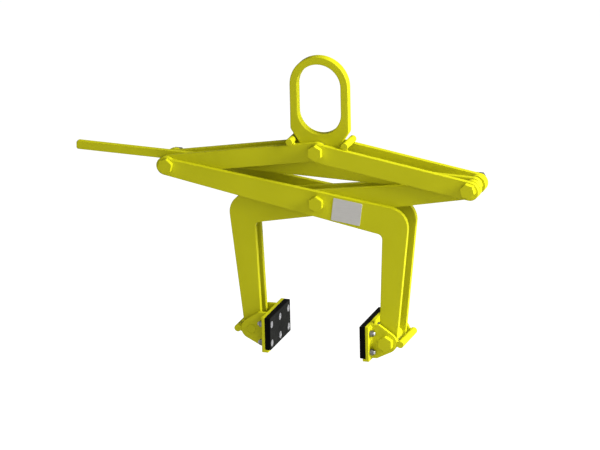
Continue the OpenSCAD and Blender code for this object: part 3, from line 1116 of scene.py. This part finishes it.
@dataclass(frozen=True)
class HexBlock:
    """A bolt head or nut, drawn from z = 0 upwards with a corner along X.

    Attributes:
        across: Width across flats.
        height: Height over the bearing face.
        crown: Radius of the turned chamfer's inner edge, as a share of half the width.
        ease: Width of the eased edge where the wall stays inside that radius.
        slope: Slope of the chamfer.
        washer: Height of the round bearing face.
        sink: Depth of the countersink at each mouth of a nut.
        steps: Points round the outline.
    """

    across: float
    height: float
    crown: float = 1.08
    ease: float = 0.6 * MM
    slope: float = math.radians(30)
    washer: float = 0.6 * MM
    sink: float = 0.8 * MM
    steps: int = 96

    def rows(self, angle: float, both: bool) -> list[tuple[float, float]]:
        """Lists radius and height of the wall at one angle from a corner.

        Args:
            angle: Angle about Z.
            both: Whether the lower edge is turned like the upper one.

        Returns:
            The points from the bearing face to the crown.
        """
        wide = hexagon_radius(self.across, angle)
        flat = min(self.across / 2 * self.crown, wide - self.ease)
        drop = (wide - flat) * math.tan(self.slope)
        top = [(wide, self.height - drop), (flat, self.height)]
        if both:
            return [(flat, 0.0), (wide, drop)] + top
        return [(flat, 0.0), (flat, self.washer), (wide, self.washer)] + top

    def head(self, to_frame: Matrix) -> bpy.types.Mesh:
        """Makes a solid bolt head."""
        return self.build(to_frame, 0.0, 0.0, False)

    def nut(self, bore: float, to_frame: Matrix) -> bpy.types.Mesh:
        """Makes a nut with a bore whose mouths are countersunk."""
        return self.build(to_frame, bore, self.sink, True)

    def build(self, to_frame: Matrix, bore: float, sink: float, both: bool) -> bpy.types.Mesh:
        """Makes the block.

        Args:
            to_frame: Puts it in its place.
            bore: Radius of its bore, or 0 for a solid head.
            sink: Depth of the countersink at its mouths.
            both: Whether both faces are turned.

        Returns:
            The closed mesh.
        """
        columns = []
        for angle in angles(self.steps):
            column = self.rows(angle, both)
            if bore:
                column = [(bore, sink), (bore + sink, 0.0)] + column
                column += [(bore + sink, self.height), (bore, self.height - sink)]
            columns.append(column)
        return wrapped(columns, to_frame, bore > 0)


def looking(at: Vector, facing: Facing, depth: float, turn: float = 0.0) -> Matrix:
    """Places what is drawn along +Z so that it points to the front or the rear.

    Args:
        at: Its axis in the front view.
        facing: Which way its Z axis looks.
        depth: Y of its origin.
        turn: Turn about its own axis, in degrees.

    Returns:
        The matrix to the frame.
    """
    tilt = Matrix.Rotation(math.radians(-90 * facing.value), 4, "X")
    spin = Matrix.Rotation(math.radians(turn), 4, "Z")
    return Matrix.Translation((at.x, depth, at.z)) @ tilt @ spin


def on_axis(node: str) -> Matrix:
    """Places what is drawn along +Z on a node's axis, along +Y."""
    return looking(middle_of(node), Facing.REAR, 0)


@dataclass(frozen=True)
class WeldRun:
    """A weld bead along a line.

    Attributes:
        points: The line that it follows.
        radius: Radius of the bead.
        pitch: Length of one ripple.
        depth: Depth of a ripple, as a share of the radius.
    """

    points: Sequence[Vector]
    radius: float = 2.8 * MM
    pitch: float = 1.6 * MM
    depth: float = 0.16

    def mesh(self) -> bpy.types.Mesh:
        """Lays the bead.

        Returns:
            The bead's closed mesh.
        """
        line = bpy.data.meshes.new("weld_line")
        line.from_pydata([tuple(p) for p in self.points], [(i, i + 1) for i in range(len(self.points) - 1)], [])
        return WELD_BEAD.apply(line, {"Bead Radius": self.radius, "Ripple Pitch": self.pitch,
                                      "Ripple Depth": self.depth, "Material": MATERIALS[Slot.PAINT]})


@dataclass(frozen=True)
class BarWelds:
    """The beads that hold a round bar on the edges of plates.

    Attributes:
        bead: Radius of a bead.
        reach: Distance of a bead from the line where bar and edge meet.
        sink: How far a bead's middle lies above the bar's underside.
        end: Distance of a bead's end from the end of the seam.
    """

    bead: float
    reach: float
    sink: float
    end: float = 1.5 * MM

    def lay(self, at: Vector, up: Vector, radius: float,
            spans: Iterable[tuple[float, float]]) -> list[bpy.types.Mesh]:
        """Lays a bead on both sides of the bar on every plate.

        Args:
            at: The bar's axis in the front view.
            up: Direction square to the plates' edge.
            radius: The bar's radius.
            spans: Lowest and highest Y of each seam.

        Returns:
            The beads.
        """
        across = Vector((-up.z, 0, up.x))
        beads = []
        for low, high in spans:
            for way in (-1, 1):
                foot = at - up * (radius - self.sink) + across * (self.reach * way)
                seam = [foot + Vector((0, y, 0)) for y in (low + self.end, high - self.end)]
                beads.append(WeldRun(seam, self.bead).mesh())
        return beads


@dataclass(frozen=True)
class Thread:
    """A cut thread.

    Attributes:
        pitch: Its pitch.
        depth: How far its ridge is sunk into the shank.
        steps: Points of one turn.
    """

    pitch: float
    depth: float
    steps: int

    def cut(self, shank: bpy.types.Mesh, radius: float, length: float, slot: Slot) -> bpy.types.Mesh:
        """Winds the thread on a shank about Z.

        Args:
            shank: The plain bolt or screw.
            radius: Radius of its shank.
            length: Place of its end, where the thread starts at the origin.
            slot: The finish that it takes.

        Returns:
            The bolt or screw with its thread.
        """
        return THREADING.apply(shank, {"Shank Radius": radius - self.depth, "Pitch": self.pitch,
                                       "Turns": (length - self.pitch / 2) / self.pitch, "Steps": self.steps,
                                       "Material": MATERIALS[slot]})


def moved(mesh: bpy.types.Mesh, to_frame: Matrix) -> bpy.types.Mesh:
    """Moves a finished shell to its place."""
    mesh.transform(to_frame)
    return mesh


@dataclass(frozen=True)
class Plates:
    """The eye, the hand lever, the four link plates and the four arm plates.

    Attributes:
        eye_ease: Radius of the eased edges of the eye, where the hook bears.
        lever_ease: Radius of the eased edges of the lever, where the hand holds it.
        ease: Radius of the eased edges of the other plates.
    """

    eye_ease: float = 1.6 * MM
    lever_ease: float = 1.6 * MM
    ease: float = 1.0 * MM

    def build(self) -> None:
        """Places all ten plates."""
        place_plate("lifting_eye", self.eye_ease)
        place_plate("hand_lever", self.lever_ease)
        for side in Side:
            for facing in Facing:
                place_plate(f"{side.word}_link_{facing.word}", self.ease)
                place_plate(f"{side.word}_foot_arm_{facing.word}", self.ease)


@dataclass(frozen=True)
class Pivots:
    """The four pivot bolts with their nuts, tubes and washers.

    Attributes:
        across: Width across flats of heads and nuts.
        head: Height of a head.
        shank: Radius of a shank.
        end_ease: Radius of its eased end.
        thread: Its thread.
        ring_ease: Radius of the eased edges of rings and washers.
        side_gap: Clearance of a plate between its rings.
        clearance: Clearance of a tube or ring round its bolt.
        turns: Turn of each bolt's head, in degrees, by the pivot's name.
    """

    across: float = 30 * MM
    head: float = 12.5 * MM
    shank: float = 10 * MM
    end_ease: float = 1.2 * MM
    thread: Thread = Thread(2.5 * MM, 0.4 * MM, 48)
    ring_ease: float = 0.3 * MM
    side_gap: float = 0.25 * MM
    clearance: float = 0.3 * MM
    turns: dict[str, float] = field(default_factory=lambda: {"top": 0, "cross": 0, "left": -12, "right": 15})

    def build(self) -> None:
        """Places every bolt, nut, tube and washer."""
        for name, turn in self.turns.items():
            self.bolt(name, turn)
            self.nut(name)
        for name in ("cross", "left", "right_foot", "left_foot"):
            self.spacer(f"{name}_spacer")
        self.rings("eye_washers", "eye_washer_pair", "lifting_eye", Slot.ZINC)
        self.rings("right_spacers", "right_spacer_rings", "hand_lever", Slot.PAINT)

    def bolt(self, name: str, turn: float) -> None:
        """Places a bolt, its head to the front and its threaded end behind the nut.

        Args:
            name: The pivot's name.
            turn: Turn of its head, in degrees.
        """
        node = f"{name}_bolt"
        at = middle_of(node)
        low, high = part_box(node)
        nut_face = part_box(f"{name}_nut")[1].y
        bearing = low.y + self.head
        tail = high.y - nut_face
        head = HexBlock(self.across, self.head).head(looking(at, Facing.FRONT, bearing, HALF_SECTOR + turn))
        shank = bar(bearing - self.head / 2 - nut_face, tail, self.shank, Matrix(), self.end_ease)
        cut = self.thread.cut(shank, self.shank, tail, Slot.PAINT)
        place(f"{name}_pivot_bolt", [head, moved(cut, looking(at, Facing.REAR, nut_face))], Slot.PAINT,
              body_of(node), [node])

    def nut(self, name: str) -> None:
        """Places the nut at the rear of a pivot.

        Args:
            name: The pivot's name.
        """
        node = f"{name}_nut"
        low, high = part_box(node)
        block = HexBlock(self.across, high.y - low.y)
        place(f"{name}_pivot_nut", [block.nut(self.shank, looking(middle_of(node), Facing.REAR, low.y))],
              Slot.ZINC, body_of(node), [node])

    def spacer(self, node: str) -> None:
        """Places the tube between the plates at a pivot.

        Args:
            node: The tube's node.
        """
        low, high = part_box(node)
        radius = (high.x - low.x) / 2
        wall = tube(low.y, high.y, self.shank + self.clearance, radius, on_axis(node))
        place(f"{node}_tube", [wall], Slot.PAINT, body_of(node), [node])

    def rings(self, node: str, name: str, between: str, slot: Slot) -> None:
        """Places the two rings on both sides of a plate.

        Args:
            node: The rings' node.
            name: Name of the piece.
            between: The plate that turns between them.
            slot: The finish that they take.
        """
        low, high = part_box(node)
        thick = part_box(between)[0].y - low.y - self.side_gap
        radius, bore = (high.x - low.x) / 2, self.shank + self.clearance
        pair = [tube(start, start + thick, bore, radius, on_axis(node), self.ring_ease)
                for start in (low.y, high.y - thick)]
        place(name, pair, slot, body_of(node), [node])


@dataclass(frozen=True)
class StopRods:
    """The round bars across the links' top edges, with their welds.

    Attributes:
        welds: The beads that hold a bar.
    """

    welds: BarWelds = BarWelds(2.8 * MM, 6.2 * MM, 0.6 * MM)

    def build(self) -> None:
        """Places both rods."""
        top = pivot_of("closing")
        for side, joint in ((Side.LEFT, "right_foot_arm_swing"), (Side.RIGHT, "left_foot_arm_swing")):
            along = (pivot_of(joint) - top).normalized()
            self.rod(side, Vector((-along.z, 0, along.x)) * side.value)

    def rod(self, side: Side, up: Vector) -> None:
        """Places one rod and a bead on each side of it on both plates.

        Args:
            side: The link that it lies on.
            up: Direction square to the link's top edge.
        """
        node = f"{side.word}_stop_rod"
        low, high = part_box(node)
        radius = (high.x - low.x) / 2
        place(f"{node}_bar", [bar(low.y, high.y, radius, on_axis(node))], Slot.PAINT, body_of(node), [node])
        plates = [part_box(f"{side.word}_link_{facing.word}") for facing in Facing]
        spans = [(max(near.y, low.y), min(far.y, high.y)) for near, far in plates]
        place(f"{node}_welds", self.welds.lay(middle_of(node), up, radius, spans), Slot.PAINT, body_of(node))


@dataclass(frozen=True)
class PadCarrier:
    """The swivelling carrier on one foot: backing plate, cheeks, stop bar, bolt and rubber pad.

    Attributes:
        side: The foot that it hangs on.
        pitch: Spacing of the pad screws along the pad.
        rows: Spacing of their two rows.
        head: Radius and height of a screw head.
        head_edge: Width of the head's rounded edge, and how far its middle lies inside the corner.
        socket: Width across flats and depth of its drive socket.
        socket_ease: Chamfer of the socket's mouth.
        shank: Radius of a screw.
        tip: Chamfer of its end.
        thread: Its thread.
        nut: Width across flats of its nut.
        bolt: Width across flats, head height and shank radius of the foot bolt.
        bolt_ease: Radius of the foot bolt's eased end.
        corner: Rounding of the rubber's corners.
        chamfer: Rounding of the rubber's gripping edge.
        chamfer_steps: Faces across that edge.
        rear_ease: Chamfer of its edge against the backing plate.
        mouth: Inset, depth and edge value of each ring at the mouth of a screw's recess in it; the value fades the
            gripping face's painted light to the darker colour of the sides inside the recess.
        recess_steps: Points round a recess.
        room: Room round and under a screw's head.
        plate_edges: Radius of the eased edges of the plates.
        borders: Width of the border inside them, on the backing plate and on the cheeks.
        seam: Distance of the cheek welds from both plates, and of their ends from the cheeks' ends.
        welds: The beads that hold the stop bar.
    """

    side: Side
    pitch: float = 58 * MM
    rows: float = 43 * MM
    head: tuple[float, float] = (8 * MM, 4.5 * MM)
    head_edge: tuple[float, float] = (0.9 * MM, 0.25 * MM)
    socket: tuple[float, float] = (5 * MM, 2 * MM)
    socket_ease: float = 0.2 * MM
    shank: float = 4 * MM
    tip: float = 0.8 * MM
    thread: Thread = Thread(1.25 * MM, 0.2 * MM, 24)
    nut: float = 13 * MM
    bolt: tuple[float, float, float] = (30 * MM, 12.5 * MM, 10 * MM)
    bolt_ease: float = 0.3 * MM
    corner: float = 2.5 * MM
    chamfer: float = 1.6 * MM
    chamfer_steps: int = 4
    rear_ease: float = 0.5 * MM
    mouth: tuple[tuple[float, float, float], ...] = ((0.6 * MM, 0, 1), (0.15 * MM, 0.2 * MM, 0.6), (0, 0.7 * MM, 0))
    recess_steps: int = 40
    room: tuple[float, float] = (0.1 * MM, 0.3 * MM)
    plate_edges: float = 1.0 * MM
    borders: tuple[float, float] = (1.0 * MM, 0.8 * MM)
    seam: tuple[float, float] = (0.6 * MM, 3 * MM)
    welds: BarWelds = BarWelds(2.4 * MM, 5.4 * MM, 0.7 * MM)

    def node(self, name: str) -> str:
        """Names one of the carrier's nodes."""
        return f"{self.side.word}_{name}"

    def put(self, name: str, shells: Iterable[bpy.types.Mesh], slot: Slot, *nodes: str) -> None:
        """Places one of the carrier's pieces on its body."""
        place(f"{self.side.word}_{name}", shells, slot, f"{self.side.word}_carrier", [self.node(n) for n in nodes])

    def ends(self, name: str) -> tuple[float, float]:
        """Gives the X of a node's two ends, first the one that looks at the block."""
        low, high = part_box(self.node(name))
        return (low.x, high.x) if self.side is Side.RIGHT else (high.x, low.x)

    def foot(self) -> Vector:
        """Gives the place of the foot's pivot."""
        return pivot_of(self.node("pad_tilt"))

    def build(self) -> None:
        """Places all the carrier's pieces."""
        self.plates()
        self.foot_bolt()
        self.stop_bar()
        self.rubber()
        self.fasteners()

    def plate(self, name: str, node: str, border: float) -> None:
        """Places one of the carrier's plates with eased edges.

        Args:
            name: Name of the piece, without its side.
            node: The plate's node, without its side.
            border: Width of the border inside its eased edges.
        """
        outline = Outline.of_node(self.node(node))
        self.put(name, [EdgedPlate(outline, self.plate_edges, border).mesh()], Slot.PAINT, node)

    def plates(self) -> None:
        """Places the backing plate and the cheeks, with the welds that join them."""
        backing_border, cheek_border = self.borders
        gap, short = self.seam
        self.plate("backing_channel", "backing_plate", backing_border)
        x = self.ends("backing_plate")[1] + self.side.value * gap
        beads = []
        for facing in Facing:
            cheek = f"cheek_{facing.word}"
            self.plate(f"{cheek}_plate", cheek, cheek_border)
            low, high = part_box(self.node(cheek))
            y = (high.y if facing is Facing.REAR else low.y) + facing.value * gap
            beads.append(WeldRun([Vector((x, y, low.z + short)), Vector((x, y, high.z - short))]).mesh())
        self.put("carrier_welds", beads, Slot.PAINT)

    def foot_bolt(self) -> None:
        """Places the bolt through the foot, its end flush with the far cheek."""
        across, height, shank = self.bolt
        facing = Facing.FRONT if self.side is Side.RIGHT else Facing.REAR
        low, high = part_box(self.node("foot_bolt"))
        bearing = low.y + height if facing is Facing.FRONT else high.y - height
        far = high.y if facing is Facing.FRONT else low.y
        to_frame = looking(self.foot(), facing, bearing, HALF_SECTOR)
        shells = [HexBlock(across, height).head(to_frame),
                  bar(-abs(far - bearing), height / 2, shank, to_frame, self.bolt_ease)]
        self.put("foot_pivot_bolt", shells, Slot.PAINT, "foot_bolt")

    def stop_bar(self) -> None:
        """Places the round bar on the cheeks' tips and the beads that hold it."""
        node = self.node("stop_bar")
        low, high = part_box(node)
        radius = (high.z - low.z) / 2
        self.put("stop_bar_rod", [bar(low.y, high.y, radius, on_axis(node))], Slot.PAINT, "stop_bar")
        at = middle_of(node)
        cheeks = [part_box(self.node(f"cheek_{facing.word}")) for facing in Facing]
        beads = self.welds.lay(at, (at - self.foot()).normalized(), radius, [(near.y, far.y) for near, far in cheeks])
        self.put("stop_bar_welds", beads, Slot.PAINT)

    def outward(self, x: float) -> Matrix:
        """Places what is drawn along +Z so that it points away from the block, with X along Y.

        Args:
            x: X of its origin.

        Returns:
            The matrix to the frame.
        """
        way = self.side.value
        turn = Matrix(((0, 0, way, 0), (way, 0, 0, 0), (0, 1, 0, 0), (0, 0, 0, 1)))
        return Matrix.Translation((x, 0, self.foot().z)) @ turn

    def rubber(self) -> None:
        """Places the rubber block with its eased edges and the recesses of its screws."""
        low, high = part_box(self.node("rubber_pad"))
        thick = high.x - low.x
        to_frame = self.outward(self.ends("rubber_pad")[0])
        bottom, top = low.z - self.foot().z, high.z - self.foot().z
        outer = rounded_corners([(low.y, bottom), (high.y, bottom), (high.y, top), (low.y, top)], self.corner)
        # Edge values carry the painted light: 1 on the gripping face, fading over its rounded edge to 0 on the darker
        # sides
        outer_rings = [(self.chamfer * (1 - math.sin(t)), self.chamfer * (1 - math.cos(t)), math.cos(t) ** 2)
                       for t in quarter(self.chamfer_steps)]
        outer_rings += [(0, thick - self.rear_ease, 0), (self.rear_ease, thick, 0)]
        beside, under = self.room
        radius, height = self.head
        hole_rings = [*self.mouth, (0, height + under, 0)]
        shape = bmesh.new()
        layer = shape.verts.layers.float.new(EDGE_LAYER)
        rows = ring_rows(shape, layer, outer, outer_rings, to_frame)
        shape.faces.new(rows[-1])
        rim = rim_edges(shape, rows[0])
        for column in (-1, 0, 1):
            for row in (-1, 1):
                centre = Vector((column * self.pitch, row * self.rows / 2))
                ring = [centre + (radius + beside) * Vector((math.cos(a), -math.sin(a)))
                        for a in angles(self.recess_steps)]
                hole = ring_rows(shape, layer, ring, hole_rings, to_frame)
                shape.faces.new(hole[-1])
                rim += rim_edges(shape, hole[0])
        bmesh.ops.triangle_fill(shape, edges=rim, use_beauty=True, use_dissolve=False)
        self.put("rubber_block", [plain_mesh(shape)], Slot.RUBBER, "rubber_pad")

    def screw(self, low: float, high: float) -> bpy.types.Mesh:
        """Makes one pad screw along Z, its thread starting at the origin.

        Args:
            low: Place of the top of its head.
            high: Place of its end.

        Returns:
            The screw's closed shell.
        """
        radius, height = self.head
        edge, inside = self.head_edge
        across, depth = self.socket
        columns = []
        for angle in angles(SMALL_STEPS):
            mouth = hexagon_radius(across, angle)
            columns.append([(mouth, low + depth), (mouth, low + self.socket_ease), (mouth + self.socket_ease, low),
                            (radius - edge, low), (radius - inside, low + inside), (radius, low + edge),
                            (radius, low + height), (self.shank, low + height),
                            (self.shank, high - self.tip), (self.shank - self.tip, high)])
        return wrapped(columns, Matrix())

    def grid(self, mesh: bpy.types.Mesh, slot: Slot) -> bpy.types.Mesh:
        """Repeats a fastener at every place of the pad's pattern."""
        return SCREW_GRID.apply(mesh, {"Pitch": self.pitch, "Row Spacing": self.rows, "Columns": 3, "Rows": 2,
                                       "Material": MATERIALS[slot]})

    def fasteners(self) -> None:
        """Places the pad's screws and nuts."""
        way = self.side.value
        head, end = self.ends("pad_screws")
        seat, top = self.ends("pad_nuts")
        tail = (end - top) * way
        cut = self.thread.cut(self.screw((head - top) * way, tail), self.shank, tail, Slot.BRIGHT_ZINC)
        self.put("pad_screw_set", [moved(self.grid(cut, Slot.BRIGHT_ZINC), self.outward(top))], Slot.BRIGHT_ZINC,
                 "pad_screws")
        block = HexBlock(self.nut, (top - seat) * way, steps=SMALL_STEPS).nut(self.shank, Matrix())
        self.put("pad_nut_set", [moved(self.grid(block, Slot.ZINC), self.outward(seat))], Slot.ZINC, "pad_nuts")


@dataclass(frozen=True)
class RatingPlate:
    """The bare plate on the front of the right-foot arm.

    Attributes:
        ease: Radius of its eased edges.
        border: Width of the border inside them.
    """

    ease: float = 0.35 * MM
    border: float = 0.6 * MM

    def build(self) -> None:
        """Places the plate."""
        place_plate("rating_plate", self.ease, self.border, Slot.PLATE_GREY)


@dataclass(frozen=True)
class Lamp:
    """A square soft light that looks at the tongs.

    Attributes:
        name: Name of the light.
        azimuth: Its direction round the tongs, from the front towards +X, in degrees.
        elevation: Its height over the horizon, in degrees.
        distance: Distance from the tongs in metres.
        size: Side of the square in metres.
        power: Power in watts.
    """

    name: str
    azimuth: float
    elevation: float
    distance: float
    size: float
    power: float

    def build(self, target: Vector) -> None:
        """Hangs the light.

        Args:
            target: The point that it looks at.
        """
        light = bpy.data.lights.new(self.name, "AREA")
        light.energy = self.power
        light.size = self.size
        lamp = bpy.data.objects.new(self.name, light)
        back = direction(self.azimuth, self.elevation)
        lamp.location = target + back * self.distance
        lamp.rotation_euler = back.to_track_quat("Z", "Y").to_euler()
        lamp.visible_camera = False
        bpy.context.scene.collection.objects.link(lamp)


def direction(azimuth: float, elevation: float) -> Vector:
    """Gives the direction from the tongs to a viewer at an azimuth and elevation in degrees."""
    a, e = math.radians(azimuth), math.radians(elevation)
    return Vector((math.sin(a) * math.cos(e), -math.cos(a) * math.cos(e), math.sin(e)))


@dataclass(frozen=True)
class Camera:
    """A long lens at the photograph's angle.

    Attributes:
        azimuth: Direction round the tongs, in degrees.
        elevation: Height over the horizon, in degrees.
        roll: Turn of the picture, anticlockwise, in degrees.
        distance: Distance to the target in metres.
        target: Point at the middle of the picture.
        focal_px: Focal length in pixels of the picture.
        width_px: Width of the picture in pixels.
        sensor_mm: Width of the sensor in millimetres.
        sight: Farthest distance that it sees, in metres.
    """

    azimuth: float = 18.748
    elevation: float = 18.434
    roll: float = 1.204
    distance: float = 16.0
    target: tuple[float, float, float] = (-0.05285, 0, -0.3776)
    focal_px: float = 7235.9
    width_px: float = 600
    sensor_mm: float = 36
    sight: float = 200

    def build(self) -> None:
        """Sets up the scene's camera."""
        data = bpy.data.cameras.new("camera")
        data.sensor_width = self.sensor_mm
        data.lens = self.focal_px / self.width_px * self.sensor_mm
        data.clip_end = self.sight
        camera = bpy.data.objects.new("camera", data)
        back = direction(self.azimuth, self.elevation)
        camera.location = Vector(self.target) + back * self.distance
        aim = back.to_track_quat("Z", "Y").to_matrix().to_4x4()
        camera.rotation_euler = (aim @ Matrix.Rotation(math.radians(-self.roll), 4, "Z")).to_euler()
        bpy.context.scene.collection.objects.link(camera)
        bpy.context.scene.camera = camera


@dataclass(frozen=True)
class Studio:
    """A pale floor far under the hanging tongs, soft lights and an even sky.

    Attributes:
        drop: Depth of the floor under the tongs.
        reach: Half the side of the floor.
        lamps: The soft lights.
        sky: Strength of the even light from all round.
        mirrored: Strength of the sky in the gloss of the paint and the zinc.
        ground: Tone and roughness of the floor.
        glow: Strength that makes up the floor's tone to white, for the camera alone.
    """

    drop: float = 1.6
    reach: float = 40
    lamps: tuple[Lamp, ...] = (
        Lamp("side", 87, 26, 4.5, 2.0, 470),
        Lamp("front", 8, 32, 4.5, 6.0, 104),
    )
    sky: float = 0.09
    mirrored: float = 0.3
    ground: tuple[float, float] = (0.8, 0.9)
    glow: float = 0.85

    def build(self) -> None:
        """Places the floor, the lamps and the sky."""
        target = (CAD_LOW + CAD_HIGH) / 2
        for lamp in self.lamps:
            lamp.build(target)
        self.floor()
        self.world()

    def floor(self) -> None:
        """Lays a pale floor that shows white and keeps a faint shadow."""
        shape = bmesh.new()
        z = CAD_LOW.z - self.drop
        corners = [(-1, -1), (1, -1), (1, 1), (-1, 1)]
        shape.faces.new([shape.verts.new((x * self.reach, y * self.reach, z)) for x, y in corners])
        floor = bpy.data.objects.new("floor", plain_mesh(shape, "floor"))
        bpy.context.scene.collection.objects.link(floor)
        material = bpy.data.materials.new("pale_floor")
        shade = Shade(material)
        tone, roughness = self.ground
        shade.set(Base_Color=(tone, tone, tone, 1), Roughness=roughness, Specular_IOR_Level=0.0)
        seen = shade.add("ShaderNodeLightPath").outputs["Is Camera Ray"]
        glow = shade.add("ShaderNodeEmission", {"Color": WHITE, "Strength": shade.math("MULTIPLY", seen, self.glow)})
        both = shade.add("ShaderNodeAddShader", {0: shade.shader.outputs[0], 1: glow.outputs[0]})
        shade.feed(shade.output.inputs["Surface"], both.outputs[0])
        floor.data.materials.append(material)

    def world(self) -> None:
        """Sets an even sky that shows white behind the tongs."""
        world = bpy.data.worlds.new("sky")
        bpy.context.scene.world = world
        world.use_nodes = True
        sky = Graph(world.node_tree)
        rays = sky.add("ShaderNodeLightPath").outputs
        level = sky.add("ShaderNodeMapRange", {"Value": rays["Is Glossy Ray"], "To Min": self.sky,
                                               "To Max": self.mirrored}).outputs["Result"]
        level = sky.add("ShaderNodeMapRange", {"Value": rays["Is Camera Ray"], "To Min": level, "To Max": 1.0})
        background = sky.tree.nodes["Background"]
        sky.feed(background.inputs["Color"], WHITE)
        sky.feed(background.inputs["Strength"], level.outputs["Result"])


def main() -> None:
    """Builds the tongs, the studio and the camera, in that order."""
    logging.basicConfig(level=logging.INFO, format="%(name)s: %(message)s")
    Plates().build()
    Pivots().build()
    StopRods().build()
    RatingPlate().build()
    for side in Side:
        PadCarrier(side).build()
    Studio().build()
    Camera().build()
    bpy.context.scene.view_settings.view_transform = "Standard"


if __name__ == "__main__":
    main()
